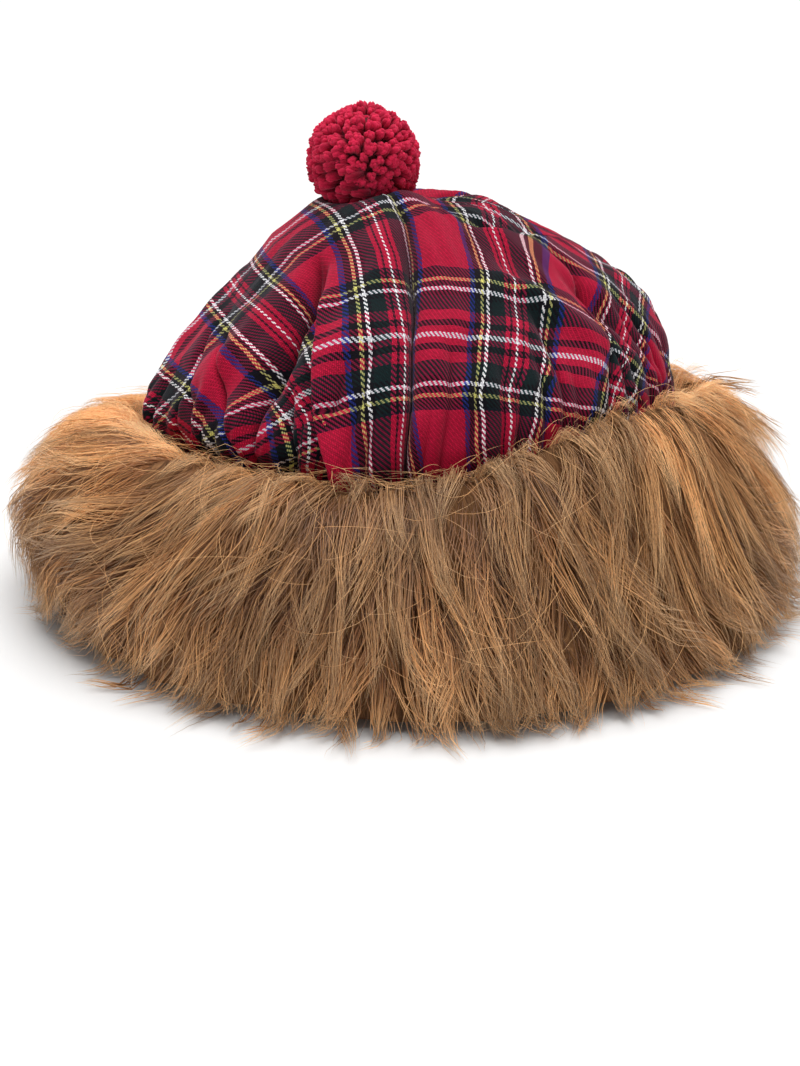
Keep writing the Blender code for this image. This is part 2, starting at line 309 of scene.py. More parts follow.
def make_stage():
    corners = np.array([(-1, -1, 0), (1, -1, 0), (1, 1, 0), (-1, 1, 0)]) * FLOOR_SIDE - UP * FLOOR_DROP
    floor = mesh_object("floor", corners, [(0, 1, 2), (0, 2, 3)])
    paint = Nodes("pale_floor", 0.9, Base_Color=(FLOOR_GREY, FLOOR_GREY, FLOOR_GREY, 1.0))
    floor.data.materials.append(paint.material)
    world = bpy.data.worlds.new("studio")
    SCENE.world = world
    world.use_nodes = True
    nodes, links = world.node_tree.nodes, world.node_tree.links
    place, split = nodes.new("ShaderNodeTexCoord"), nodes.new("ShaderNodeSeparateXYZ")
    ramp = nodes.new("ShaderNodeValToRGB")
    levels = ((HORIZON_TOP, HORIZON_STRENGTH), (SKY_FROM, WORLD_STRENGTH))
    for element, (height, level) in zip(ramp.color_ramp.elements, levels):
        element.position = height
        element.color = (level, level, level, 1.0)
    links.new(place.outputs["Generated"], split.inputs[0])
    links.new(split.outputs["Z"], ramp.inputs[0])
    links.new(ramp.outputs[0], nodes["Background"].inputs[0])
    data = bpy.data.lights.new("overhead", "SUN")
    data.angle = SUN_ANGLE
    data.energy = SUN_STRENGTH
    sun = bpy.data.objects.new("overhead", data)
    SCENE.collection.objects.link(sun)
    sun.rotation_euler = (Vector((0, 0, 0)) - Vector(SUN_FROM)).to_track_quat("-Z", "Y").to_euler()
    SCENE.view_settings.view_transform = "Standard"


# The crown's cloth
INNER_COLUMNS = 512
INNER_RINGS = 36
OUTER_RINGS = 74
INNER_END = 0.36
TABLE_AZIMUTHS = 720
TABLE_STEPS = 150
CASING_SHARE = 1.30

# The main folds, by the azimuth of the fold's line and the cloth that it takes up, in
# millimetres, at distances along the cloth from the button. A groove dips between two
# panels. In a tuck the panel on the side of higher azimuth lies over the other, with a lip.
# A small edge is a sharp one.
FOLDS = table(
    "kind edge lip line takes",
    ("groove", 3.4, 0.0,
     [(30, 8), (45, 2), (67, -1), (85, -4), (125, -5), (147, -4), (165, -3), (200, -2)],
     [(28, 0), (45, 2), (67, 4), (85, 7), (105, 13), (125, 19), (150, 20), (170, 15),
      (195, 8), (235, 5)]),
    ("tuck", 1.7, 1.7,
     [(70, -37), (86, -33), (94, -31), (120, -25), (142, -21), (161, -17), (178, -14),
      (200, -13)],
     [(72, 0), (86, 5), (100, 11), (120, 20), (142, 25), (160, 30), (178, 24), (200, 12),
      (235, 8)]),
    ("groove", 2.6, 0.0,
     [(60, -42), (93, -38), (119, -38), (144, -37), (165, -35), (200, -33)],
     [(66, 0), (85, 6), (105, 14), (125, 20), (144, 14), (160, 7), (200, 4)]),
    ("groove", 2.0, 0.0,
     [(100, -72), (129, -64), (151, -54), (180, -48)],
     [(92, 0), (115, 6), (140, 8), (160, 8), (200, 5)]),
    ("tuck", 2.0, 1.0,
     [(60, -96), (100, -88), (140, -76), (170, -66), (200, -64)],
     [(70, 0), (95, 6), (130, 12), (160, 16), (190, 12), (235, 6)]),
    ("groove", 2.2, 0.0,
     [(111, 62), (125, 56), (136, 53), (150, 50), (165, 45), (200, 40)],
     [(96, 0), (112, 4), (136, 8), (160, 9), (185, 7), (235, 5)]),
    ("groove", 1.8, 0.0,
     [(105, -62), (123, -55), (140, -48), (168, -39), (200, -36)],
     [(106, 0), (124, 7), (144, 12), (165, 11), (205, 6)]),
    ("groove", 1.6, 0.0,
     [(136, -31), (154, -28), (171, -25), (200, -24)],
     [(136, 0), (152, 8), (175, 10), (205, 6)]),
    ("groove", 2.4, 0.0,
     [(70, 104), (110, 96), (150, 88), (200, 84)],
     [(70, 0), (95, 5), (130, 13), (170, 16), (200, 12), (235, 6)]),
    ("groove", 2.4, 0.0,
     [(35, 130), (90, 124), (150, 117), (200, 115)],
     [(35, 0), (60, 6), (100, 14), (150, 22), (180, 18), (235, 6)]),
    ("tuck", 2.2, 1.0,
     [(60, 160), (110, 153), (160, 147), (200, 146)],
     [(60, 0), (90, 8), (130, 18), (160, 22), (200, 8)]),
    ("groove", 2.4, 0.0,
     [(30, 176), (90, 179), (140, 183), (200, 185)],
     [(30, 0), (60, 6), (100, 14), (140, 22), (180, 14), (225, 6)]),
    ("tuck", 2.2, 1.0,
     [(60, 207), (110, 213), (150, 218), (200, 219)],
     [(55, 0), (85, 8), (120, 18), (150, 20), (200, 8)]),
    ("groove", 2.4, 0.0,
     [(35, 237), (80, 243), (130, 250), (200, 253)],
     [(35, 0), (60, 6), (90, 12), (125, 20), (160, 12), (210, 6)]),
)

# The middle thread of the pattern's front stripe: its azimuth by distance along the cloth.
FRONT_LINE = [(0, -38), (20, -38), (30, -26), (45, -18), (73, -11), (100, -9), (125, -6), (147, -5),
              (181, -3), (240, -2)]
FRONT_LINE_START = 20.0

# Rounded rises and dips of the slack cloth: where, how long and wide, and how high, in
# millimetres; "turn" is the angle between its length and the way down, in degrees.
BUMPS = table(
    "azimuth along long wide turn high",
    (36, 124, 26, 7, 38, 6.5),
    (20, 104, 24, 9, 80, 3.0),
    (57, 136, 22, 8, 20, -8.0),
    (12, 150, 18, 10, 0, 3.0),
    (-14, 150, 22, 9, 0, 3.0),
    (-37, 130, 18, 7, 10, -12.0),
    (-35, 102, 24, 8, 0, -6.0),
    (-86, 72, 18, 26, 0, 4.0),
    (-20, 120, 26, 8, 0, 4.0),
    (-92, 104, 40, 40, 0, -3.5),
    (20, 30, 11, 25, 0, 11.0),
    (-70, 142, 24, 9, 0, 3.0),
    (-51, 146, 24, 6, 0, 3.5),
    (-40, 160, 22, 5, 0, 3.0),
    (92, 180, 16, 42, 0, -2.5),
    (86, 138, 30, 40, 0, 4.5),
    (-55, 128, 24, 11, -30, 4.0),
    (-50, 88, 22, 12, -20, 4.0),
    (-15, 78, 26, 10, 0, 3.0),
    (14, 66, 24, 14, 0, 2.5),
    (52, 100, 24, 14, 50, 2.5),
    (110, 130, 26, 12, 0, 3.5),
    (150, 110, 26, 12, 10, 3.0),
    (200, 110, 26, 12, -10, 3.5),
    (232, 100, 24, 12, 0, 3.0),
)

# The crease across the top right, where the front of the crown falls over the back.
CREASE = {"line": [(20, 58), (34, 66), (50, 80), (81, 94), (100, 99)], "takes": 9.0,
          "from": 26.0, "to": 98.0, "wide": 5.0, "rise": 4.5, "dip": 2.5}

# Where the slack cloth has slipped down or across from its plain place, in millimetres.
SLIPS = table(
    "azimuth along round length across down",
    (24, 118, 30, 40, 0, -4),
    (60, 148, 24, 36, -18, -7),
    (72, 100, 24, 30, -16, -6),
    (-18, 95, 16, 40, 0, 3),
)

GATHERS = 74
GATHER_TAKES = 3.4
FOLD_DEPTH = 1.3
FOLD_LEVEL_WIDTH = 15.0
SLACK_DROP = 2.5

# Wrinkles that run down the cloth and those that run any way, in millimetres.
DOWN_WRINKLES = 0.45
WRINKLES = 0.7

# The cloth that a tuck takes up where its lip stands at its full height, and the distance
# round the crown for each radian at its widest, in millimetres.
LIP_TAKES = 10.472
LIP_RISE = 3.5
LIP_DIP = 3.0
WIDEST_LENGTH = 118

# Painted shade in the folds: a dip this deep below the cloth within this width gets the darkest painted
# shade, in millimetres.
PAINTED_SHADE_DEPTH = 5.0
PAINTED_SHADE_WIDTH = 8.0


class CrownSurface:
    """The crown's plain outer surface, and the length of cloth down it."""

    def __init__(self):
        azimuths = full_turn(TABLE_AZIMUTHS)
        shares = np.linspace(0.0, CASING_SHARE, TABLE_STEPS)
        self.points = np.stack([self.section(azimuths, s) for s in shares], 1)
        steps = np.linalg.norm(np.diff(self.points, axis=1), axis=-1)
        start = np.full((TABLE_AZIMUTHS, 1), CROWN_SECTIONS["out"][0] * CROWN_WIDTH / 2)
        self.lengths = np.concatenate([start, steps.cumsum(1) + start], 1) / MM

    def section(self, azimuth, share):
        way = heading(azimuth)
        if share <= 1.0:
            out, up, side, back = (between(CROWN_SECTIONS[k], np.array(share))
                                   for k in ("out", "up", "side", "back"))
            x = CROWN_WIDTH / 2 * (side + way[:, 0] * out)
            y = BUTTON_BACK * back + CROWN_DEPTH / 2 * way[:, 1] * out
            return np.stack([x, y, np.full_like(x, WIDEST_HEIGHT + CROWN_RISE * up)], -1)
        rest = (share - 1.0) / (CASING_SHARE - 1.0)
        inward = between(UNDER_SECTIONS["in"], np.array(rest))
        down = between(UNDER_SECTIONS["down"], np.array(rest))
        widest = self.section(azimuth, 1.0)
        radius = np.linalg.norm(widest[:, :2], axis=-1)
        radius = radius + (RIM_RADIUS + CLOTH - radius) * inward
        flat = unit(widest * [1, 1, 0]) * radius[:, None]
        return flat + UP * (WIDEST_HEIGHT - (WIDEST_HEIGHT - RIM_HEIGHT - CASING_HEIGHT) * down)

    def look_up(self, table, azimuth, row):
        """Values of a table of the surface at azimuths in radians and places down it."""
        place = np.mod(azimuth, 2 * math.pi) * TABLE_AZIMUTHS / (2 * math.pi)
        a0 = np.floor(place).astype(int) % TABLE_AZIMUTHS
        a1 = (a0 + 1) % TABLE_AZIMUTHS
        fa = place - np.floor(place)
        row = np.clip(row, 0, TABLE_STEPS - 1.001)
        r0 = np.floor(row).astype(int)
        fr = row - r0
        if table.ndim == 3:
            fa, fr = fa[..., None], fr[..., None]
        return ((table[a0, r0] * (1 - fa) + table[a1, r0] * fa) * (1 - fr)
                + (table[a0, r0 + 1] * (1 - fa) + table[a1, r0 + 1] * fa) * fr)


def fold_list():
    """The main folds and the small gathers at the rim, each with its line and its take."""
    rng = np.random.default_rng(5)
    folds = [dict(f) for f in FOLDS]
    for k in range(GATHERS):
        azimuth = 360.0 * (k + rng.uniform(-0.3, 0.3)) / GATHERS
        near = min(abs(wrapped(azimuth - f["line"][-1][1])) for f in FOLDS)
        start = rng.uniform(118, 152)
        full = GATHER_TAKES * rng.uniform(0.5, 1.4) * (0.5 if near < 2.5 else 1.0)
        folds.append({"kind": "groove", "edge": 1.3, "line": [(0, azimuth), (300, azimuth)],
                      "takes": [(start, 0), (start + 28, full), (215, full * 1.2)]})
    return folds


def fold_ring(share_row, surface, folds, angles):
    """Azimuths and heights of one ring of the cloth, for its material angles."""
    centres, takes = [], []
    front = 0.0
    for _ in range(3):
        length_front = surface.look_up(surface.lengths, np.radians(front), share_row)
        front = at_place(FRONT_LINE, length_front)
    for fold in folds:
        azimuth = fold["line"][0][1]
        for _ in range(4):
            length = surface.look_up(surface.lengths, np.radians(np.array(azimuth)), share_row)
            azimuth = at_place(fold["line"], length)
        centres.append((azimuth - front) % 360.0)
        takes.append(at_place(fold["takes"], length) if length > fold["takes"][0][0] else 0.0)
    mean_length = float(surface.look_up(surface.lengths, angles, np.full(len(angles), share_row)).mean())
    takes = np.array(takes) / mean_length
    order = np.argsort(centres)
    scale = 2 * math.pi / (2 * math.pi - takes.sum())
    slope = np.zeros(len(angles))
    rise = np.zeros(len(angles))
    lips = np.zeros(len(angles))
    before = 0.0
    for k in order:
        fold, take = folds[k], takes[k]
        middle = math.radians(centres[k]) / scale + before + take / 2
        before += take
        if take <= 1e-6:
            continue
        strength = 1.0 if fold["kind"] == "groove" else 2.0
        half = take / (2 * strength) * mean_length
        x = ((angles - middle + math.pi) % (2 * math.pi) - math.pi) * mean_length
        edge = fold["edge"]
        part = strength * 0.5 * (np.tanh((x + half) / edge) - np.tanh((x - half) / edge))
        slope += part
        side = np.tanh(x / 1.2) if fold["kind"] == "groove" else 1.0
        rise += part * side
        if fold["kind"] == "tuck":
            full = min(1.0, take * mean_length / LIP_TAKES) * fold["lip"]
            over = smooth(-1, 2, x)
            lips += full * (LIP_RISE * over * np.exp(-np.clip(x - half, 0, None) / 14)
                            - LIP_DIP * (1 - over) * np.exp(np.clip(x + half, None, 0) / 9))
    step = angles[1] - angles[0]
    azimuth = scale * (angles - np.concatenate([[0], np.cumsum((slope[1:] + slope[:-1]) / 2) * step]))
    azimuth *= 2 * math.pi / (azimuth[-1] + scale * step * (1 - slope[0]))
    steep = np.sqrt(np.clip(1 - (1 - np.clip(slope, 0, 2)) ** 2, 0, 1))
    steep *= np.divide(rise, slope, out=np.zeros_like(rise), where=slope > 1e-6)
    height = np.cumsum(steep) * step * mean_length
    height -= np.linspace(0, 1, len(height)) * height[-1]
    height += lips
    twist = WARP_MIDDLE / MM / max(float(length_front), FRONT_LINE_START)
    return azimuth + math.radians(front), height, mean_length, twist


def smooth_round(values, lengths, sigma):
    """Each ring's values smoothed round the ring, with a width in millimetres."""
    count = values.shape[1]
    waves_ = np.fft.rfft(values, axis=1)
    order = np.arange(waves_.shape[1])[None, :]
    return np.fft.irfft(waves_ * np.exp(-0.5 * (order * sigma / lengths[:, None]) ** 2), count, axis=1)


def crown_cloth():
    """Points of the cloth ring by ring, their places on the flat cloth in metres, and the painted shade
    in its folds.
    """
    surface = CrownSurface()
    folds = fold_list()
    columns = INNER_COLUMNS * 2
    angles = full_turn(columns)
    inner = np.linspace(0.0, INNER_END, INNER_RINGS, endpoint=False)
    outer = np.linspace(INNER_END, 1.0, OUTER_RINGS)
    rows = np.concatenate([inner, outer]) * (TABLE_STEPS - 1)
    azimuths, heights, lengths, twists = (np.array(made) for made in zip(
        *(fold_ring(row, surface, folds, angles) for row in rows)))
    heights = FOLD_DEPTH * (heights - 0.8 * smooth_round(heights, lengths, FOLD_LEVEL_WIDTH))
    threads = angles[None, :] + twists[:, None]
    row_grid = np.repeat(rows[:, None], columns, 1)
    down = surface.look_up(surface.lengths, azimuths, row_grid)

    # The crease across the top takes up some of the cloth's length.
    degrees = wrapped(np.degrees(azimuths))
    window = smooth(CREASE["from"], CREASE["from"] + 22, degrees) * (
        1 - smooth(CREASE["to"] - 26, CREASE["to"], degrees))
    gap = down - at_place(CREASE["line"], degrees)
    takes = CREASE["takes"] * window
    taken = takes * smooth(-CREASE["wide"], CREASE["wide"], gap)
    heights += window * (CREASE["rise"] * smooth(-4, 3, gap) * np.exp(-np.clip(gap, 0, None) / 16)
                         - CREASE["dip"] * np.exp(-((gap + 7) / 6) ** 2))
    cloth_down = down + taken

    for bump in BUMPS:
        across = np.radians(wrapped(degrees - bump["azimuth"])) * np.minimum(down, WIDEST_LENGTH)
        along = down - bump["along"]
        turn = math.radians(bump["turn"])
        p = along * math.cos(turn) + across * math.sin(turn)
        q = across * math.cos(turn) - along * math.sin(turn)
        heights += bump["high"] * np.exp(-(p / bump["long"]) ** 2 - (q / bump["wide"]) ** 2)

    flat = np.stack([cloth_down * np.sin(threads), cloth_down * np.cos(threads)], -1)
    for slip in SLIPS:
        away = wrapped(degrees - slip["azimuth"])
        near = np.exp(-(away / slip["round"]) ** 2 - ((down - slip["along"]) / slip["length"]) ** 2)
        flat += near[..., None] * [slip["across"], slip["down"]]
    polar = np.stack([azimuths * 100.0, down * 0.35], -1)
    wrinkle = waves(polar, 14, 9, 30, 21) * DOWN_WRINKLES + waves(flat, 18, 16, 50, 22) * WRINKLES
    wrinkle *= smooth(15, 60, down) * (1 - smooth(185, 215, down))
    fade = smooth(8, 40, down) * (1 - 0.75 * smooth(190, 225, down))
    heights = (heights + wrinkle - SLACK_DROP * smooth(30, 80, down)) * fade
    # How deep each point lies in a fold, for the painted shade in the folds.
    painted_shade = np.clip((smooth_round(heights, lengths, PAINTED_SHADE_WIDTH) - heights) / PAINTED_SHADE_DEPTH, 0, 1)

    base = surface.look_up(surface.points, azimuths, row_grid)
    normals = surface_normals(surface, azimuths, row_grid)
    points = base + normals * heights[..., None] * MM
    for _ in range(2):
        near = (np.roll(points, 1, 1) + np.roll(points, -1, 1)) / 2
        ends = points.copy()
        ends[1:-1] = (points[:-2] + points[2:]) / 2
        points[1:-1] = (points * 0.5 + near * 0.35 + ends * 0.15)[1:-1]
    return points, flat * MM, painted_shade, lengths


def surface_normals(surface, azimuths, rows):
    step = 0.012
    round_ = (surface.look_up(surface.points, azimuths + step, rows)
              - surface.look_up(surface.points, azimuths - step, rows))
    low, high = np.clip(rows - 1.5, 0, TABLE_STEPS - 1.001), np.clip(rows + 1.5, 0, TABLE_STEPS - 1.001)
    down = (surface.look_up(surface.points, azimuths, high)
            - surface.look_up(surface.points, azimuths, low))
    return unit(np.cross(down, round_))


def make_crown(paint):
    points, flat, painted_shade, lengths = crown_cloth()
    columns = INNER_COLUMNS * 2
    inner, outer = points[:INNER_RINGS, ::2], points[INNER_RINGS:]
    inner_flat, outer_flat = flat[:INNER_RINGS, ::2], flat[INNER_RINGS:]
    verts = np.concatenate([inner.reshape(-1, 3), outer.reshape(-1, 3)])
    flats = np.concatenate([inner_flat.reshape(-1, 2), outer_flat.reshape(-1, 2)])
    start = INNER_RINGS * INNER_COLUMNS
    last = start - INNER_COLUMNS
    j = np.arange(INNER_COLUMNS)
    nxt = (j + 1) % INNER_COLUMNS
    o0, o1, o2 = start + 2 * j, start + 2 * j + 1, start + (2 * j + 2) % columns
    join = np.concatenate([np.stack(t, -1) for t in (
        (last + j, o0, o1), (last + j, o1, last + nxt), (last + nxt, o1, o2))])
    triangles = np.concatenate([ring_grid(INNER_RINGS, INNER_COLUMNS), join,
                                ring_grid(OUTER_RINGS, columns) + start])
    crown = mesh_object("crown_cloth", verts, triangles)
    layer = crown.data.uv_layers.new(name="cloth")
    layer.data.foreach_set("uv", (flats[triangles.ravel()] + 0.5).astype(np.float32).ravel())
    # The dip attribute carries the painted shade in the folds.
    give(crown, "dip", np.concatenate([painted_shade[:INNER_RINGS, ::2].ravel(), painted_shade[INNER_RINGS:].ravel()]))
    finish_piece(crown, "crown", paint)
    return crown


WARP_PITCH = 0.00048
WEFT_PITCH = 0.00066
RED, GREEN, BLACK = rgb(230, 32, 96), rgb(8, 60, 62), rgb(11, 8, 32)
BLUE, YELLOW, WHITE = rgb(44, 62, 166), rgb(255, 250, 158), (1.0, 0.99, 1.0, 1.0)
NAVY = rgb(20, 26, 62)

# Threads from the middle of the patterned stripe to the middle of the red one.
WARP_SETT = [(1, WHITE), (4, RED), (2, BLACK), (4, RED), (12, GREEN), (3, BLACK), (3, WHITE),
             (3, BLACK), (3, YELLOW), (6, BLACK), (5, BLUE), (25, RED)]
WEFT_SETT = [(1.5, WHITE), (5.5, RED), (5, BLACK), (8, RED), (11, GREEN), (4, BLACK), (3, WHITE),
             (5, BLACK), (3, YELLOW), (7, BLACK), (2, NAVY), (25, RED)]
WARP_MIDDLE = -0.013
WEFT_MIDDLE = 0.120
THREAD_BLEED = 0.68
PALE_COVER = 0.85
# Painted shade on the round sides of the threads and where floats dip under: how dark at most, and how
# much less on pale threads.
PAINTED_THREAD_SHADE = 0.86
PALE_PAINTED_SHADE_CUT = 0.6
# The colour that the painted shade in the folds multiplies the cloth by.
PAINTED_FOLD_SHADE = (0.30, 0.26, 0.34, 1.0)
FLOAT_DIP = 0.55
# Painted shade: weft floats are darker than warp floats, standing in for the different light that they
# reflect.
WEFT_PAINTED_SHADE = (0.74, 0.74, 0.78, 1.0)


def tartan():
    n = Nodes("tartan_twill", 0.85, Sheen_Weight=0.12, Sheen_Roughness=0.45,
              Sheen_Tint=(1.0, 0.70, 0.84, 1.0), Specular_IOR_Level=0.15)
    uv = n.node("ShaderNodeUVMap", settings={"uv_map": "cloth"})
    x, y, _ = n.split(uv)
    across = n.math("DIVIDE", n.less(x, 0.5 + WARP_MIDDLE), WARP_PITCH)
    along = n.math("DIVIDE", n.less(y, 0.5 + WEFT_MIDDLE), WEFT_PITCH)
    i, j = n.math("FLOOR", across), n.math("FLOOR", along)

    def threads(number, sett):
        total = float(sum(count for count, _ in sett))
        place = n.math("DIVIDE", n.math("PINGPONG", n.add(number, 0.5), total), total)
        stops, at = [], 0
        for count, colour in sett:
            stops.append((at / total, colour))
            at += count
        return n.ramp(place, stops, "CONSTANT")

    def round_(coordinate):
        off = n.less(n.math("FRACT", coordinate), 0.5)
        return n.less(1.0, n.times(n.times(off, off), 4.0))

    def top(coordinate, other, number, start):
        """How high a thread stands, by its round back and its float over two threads."""
        place = n.math("FLOORED_MODULO", n.less(other, n.add(number, start)), 4.0)
        off = n.less(place, 1.0)
        dip = n.times(n.times(off, off), FLOAT_DIP)
        return n.times(round_(coordinate), n.less(1.0, dip))

    def paleness(thread):
        return n.node("ShaderNodeSeparateColor", thread, output=2)

    def bleed(thread):
        """How much of the thread below shows through: less through a pale thread."""
        clear = n.less(1.0, n.times(paleness(thread), PALE_COVER))
        return n.times(clear, THREAD_BLEED)

    over = n.math("LESS_THAN", n.math("FLOORED_MODULO", n.less(i, j), 4.0), 2.0)
    warp, weft = threads(i, WARP_SETT), threads(j, WEFT_SETT)
    warp_on_top = n.mix(bleed(warp), warp, weft, "MULTIPLY")
    weft_on_top = n.mix(bleed(weft), n.multiply(weft, WEFT_PAINTED_SHADE), warp, "MULTIPLY")
    colour = n.mix(over, weft_on_top, warp_on_top)
    weft_top, warp_top = top(along, across, j, 2.0), top(across, along, i, -1.0)
    rise = n.node("ShaderNodeMix", over, None, weft_top, warp_top)
    # Painted shade: each thread darkens towards its edges and its float ends, less on pale threads.
    shade = n.times(n.less(1.0, rise), PAINTED_THREAD_SHADE)
    pale_shade_cut = n.less(1.0, n.times(paleness(colour), PALE_PAINTED_SHADE_CUT))
    colour = n.mix(n.times(shade, pale_shade_cut), colour, (0, 0, 0, 1))
    fuzz = n.noise(700.0, 3.0, uv)
    light = n.ramp(fuzz, [(0.3, (0.84, 0.84, 0.84, 1)), (0.7, (1.26, 1.26, 1.26, 1))])
    colour = n.multiply(colour, light)
    # Painted shade: the cloth darkens in its folds by the dip attribute.
    n.set("Base Color", n.mix(n.attribute("dip"), colour, n.multiply(colour, PAINTED_FOLD_SHADE)))
    n.bump(n.add(rise, n.times(fuzz, 0.6)), 0.00012, 0.8)
    return n.material


# The fur band
FLOOR_RUN = 30.0
SMOOTHING = 5
SECTORS = {"front": 0, "right": 90, "back": 180, "left": 270}
STRAND_POINTS = 5
STRAND_RADIUS = 0.00035
STRAND_FLAT = 0.45
ROUND_AT = 150.0
LOWEST_PILE = 0.0012

# Heights in metres and lengths down the pile in millimetres between which the crest's rise
# comes in, and those between which the swell of the outside comes in and goes.
CREST_HEIGHTS = (0.030, 0.075)
CREST_LENGTHS = (26, 50)
SWELL_STARTS = (50, 80)
SWELL_ENDS = (118, 150)


class Pile:
    """The pile's outer curve as a length down it in millimetres, run out on the floor."""

    def __init__(self):
        share = np.linspace(0, 1, 160)
        radius = RIM_RADIUS + BACKING + PILE_REACH * 0.99 * between(PILE_SECTIONS["out"], share)
        height = WIDEST_HEIGHT * between(PILE_SECTIONS["up"], share)
        run = np.linspace(0.5, FLOOR_RUN, 40) * MM
        radius = np.concatenate([radius, radius[-1] + run])
        height = np.concatenate([height, height[-1] - run * 0.03])
        self.oval = np.concatenate([between(PILE_SECTIONS["oval"], share), np.zeros(40)])
        curve = np.stack([radius, height], -1)
        for _ in range(SMOOTHING):
            curve[1:-1] = (curve[:-2] + curve[1:-1] * 2 + curve[2:]) / 4
        self.curve = curve
        steps = np.linalg.norm(np.diff(curve, axis=0), axis=-1)
        self.length = np.concatenate([[0], steps.cumsum()]) / MM
        self.end = self.length[159]
        along = unit(np.gradient(curve, axis=0))
        self.square = np.stack([-along[:, 1], along[:, 0]], -1)

    def at(self, azimuth, length, rise):
        """Points at azimuths in radians, lengths down the pile and rises above it."""
        radius, height, oval, out, up = (
            np.interp(length, self.length, column) for column in (
                self.curve[:, 0], self.curve[:, 1], self.oval, self.square[:, 0], self.square[:, 1]))
        round_ = wrapped(np.degrees(azimuth))
        crest = at_place(CREST_RISE, round_) * smooth(*CREST_HEIGHTS, height)
        crest = crest * smooth(*CREST_LENGTHS, length)
        height = height + crest * MM
        radius = radius - CREST_LEAN * np.maximum(crest, 0) * MM
        swell = smooth(*SWELL_STARTS, length) * (1 - smooth(*SWELL_ENDS, length))
        rise = rise + at_place(PILE_SWELL, round_) * swell
        radius = radius * (1 - (1 - CROWN_DEPTH / CROWN_WIDTH) * np.cos(azimuth) ** 2 * oval)
        radius = radius + out * rise * MM
        height = height + up * rise * MM
        low = LOWEST_PILE
        height = np.where(height < low * 2, low + np.exp((height - 2 * low) / low) * low, height)
        return heading(azimuth) * radius[..., None] + UP * height[..., None]


def tubes(paths, radii, sides=3, flat=1.0):
    """Closed tapered tubes along paths (count, steps, 3), each ending in a point. flat is
    the thickness across the surface as a share of the width along it."""
    count, steps, _ = paths.shape
    along = unit(np.gradient(paths, axis=1))
    out = np.broadcast_to(unit(paths[:, :1] * [1, 1, 0] + UP * 0.02), along.shape)
    first = unit(np.cross(along, out))
    second = np.cross(first, along) * flat
    turn = full_turn(sides) + math.pi / 2
    ring = (first[:, :, None] * np.cos(turn)[None, None, :, None]
            + second[:, :, None] * np.sin(turn)[None, None, :, None])
    verts = paths[:, :-1, None] + ring[:, :-1] * radii[:, :-1, None, None]
    verts = np.concatenate([verts.reshape(count, -1, 3), paths[:, -1:]], 1)
    size = verts.shape[1]
    faces = []
    for k in range(steps - 2):
        for j in range(sides):
            a, b = k * sides + j, k * sides + (j + 1) % sides
            faces += [(a, b, b + sides), (a, b + sides, a + sides)]
    top = (steps - 2) * sides
    faces += [(top + j, top + (j + 1) % sides, size - 1) for j in range(sides)]
    faces += [(0, j + 1, j) for j in range(1, sides - 1)]
    faces = np.array(faces)[None] + (np.arange(count) * size)[:, None, None]
    return verts.reshape(-1, 3), faces.reshape(-1, 3), size


# Tiers of locks: how many all round, where their roots are down the pile, how long they
# are and how far their tips stand off it, in millimetres; the strands in each, how far they
# stray from the flow in degrees, how fine they are, the painted light and shade on each tier
# (upper tiers paler, lower ones darker), and the share along a strand's colours that its root
# has, set higher on the upper tiers as painted light.
FUR_TIERS = table(
    "locks from to long lift strands stray fine pale shade",
    (148, 122, 147, (24, 46), 2, 13, 5, 1.0, -0.6, 0.00),  # under
    (204, 98, 130, (44, 68), 5, 23, 5, 1.0, -0.2, 0.00),  # low
    (216, 72, 106, (50, 80), 7, 25, 6, 0.95, -0.3, 0.06),  # middle
    (204, 46, 80, (48, 82), 7, 25, 8, 0.85, 0.9, 0.18),  # high
    (156, 24, 54, (38, 70), 3.5, 32, 15, 0.66, 2.6, 0.46),  # crest
)
FLOW = [(-180, 8), (-140, -8), (-105, -4), (-80, -28), (-58, -44), (-40, -34), (-20, -14), (-6, 2),
        (8, 8), (24, -4), (45, 10), (70, 18), (92, 12), (120, -6), (150, 6), (180, 8)]
FLOOR_REACH = 19.0

# How far the flow, the bend and the tint sway round the band, how much they differ from
# lock to lock, a lock's wave in degrees and the width of its root in millimetres.
FLOW_SWAY = 15
BEND_SWAY = 22
TINT_SWAY = 0.8
LOCK_BEND = 13
LOCK_TINT = 0.85
LOCK_WAVE = (6, 24)
LOCK_WIDE = (5, 11)

# How strongly the tiers' painted light and shade shows round the band, by azimuth; at the front it is
# reversed, so the crest there gets painted shade.
PAINTED_LIGHTING_ROUND = [(-180, 1), (-95, 1.6), (-60, 2.0), (-30, 0.3), (0, -0.7), (30, 0.0), (50, 1.2),
              (90, 1.7), (130, 1), (180, 1)]

# How far the crest stands above its plain height and the pile's outside swells, at places
# round the band, in millimetres by azimuth.
CREST_RISE = [(-180, 0), (-155, -16), (-120, -20), (-92, -9), (-60, 0), (0, 2), (12, 7), (20, 13),
              (38, 21), (56, 21), (74, 12), (92, 4), (120, 0), (180, 0)]
PILE_SWELL = [(-180, 0), (-135, 3), (-110, 16), (-75, 18), (-45, 9), (-20, 0), (60, 0), (85, 4),
              (110, 2), (180, 0)]
CREST_LEAN = 0.4

# Single tufts that stand out of the band's outline.
TUFTS = table(
    "azimuth root long turn lift",
    (-88, 92, 74, -6, 12),
    (-78, 84, 74, -14, 13),
    (-97, 88, 66, 8, 12),
    (-13, 112, 76, -4, 3),
    (-9, 116, 74, 2, 3),
    (-24, 110, 72, -8, 3),
    (3, 112, 68, 5, 3),
    (92, 50, 48, 30, 20),
    (84, 60, 50, 22, 16),
    (98, 66, 52, 10, 14),
    (78, 88, 62, 26, 9),
    (66, 100, 66, 20, 6),
)
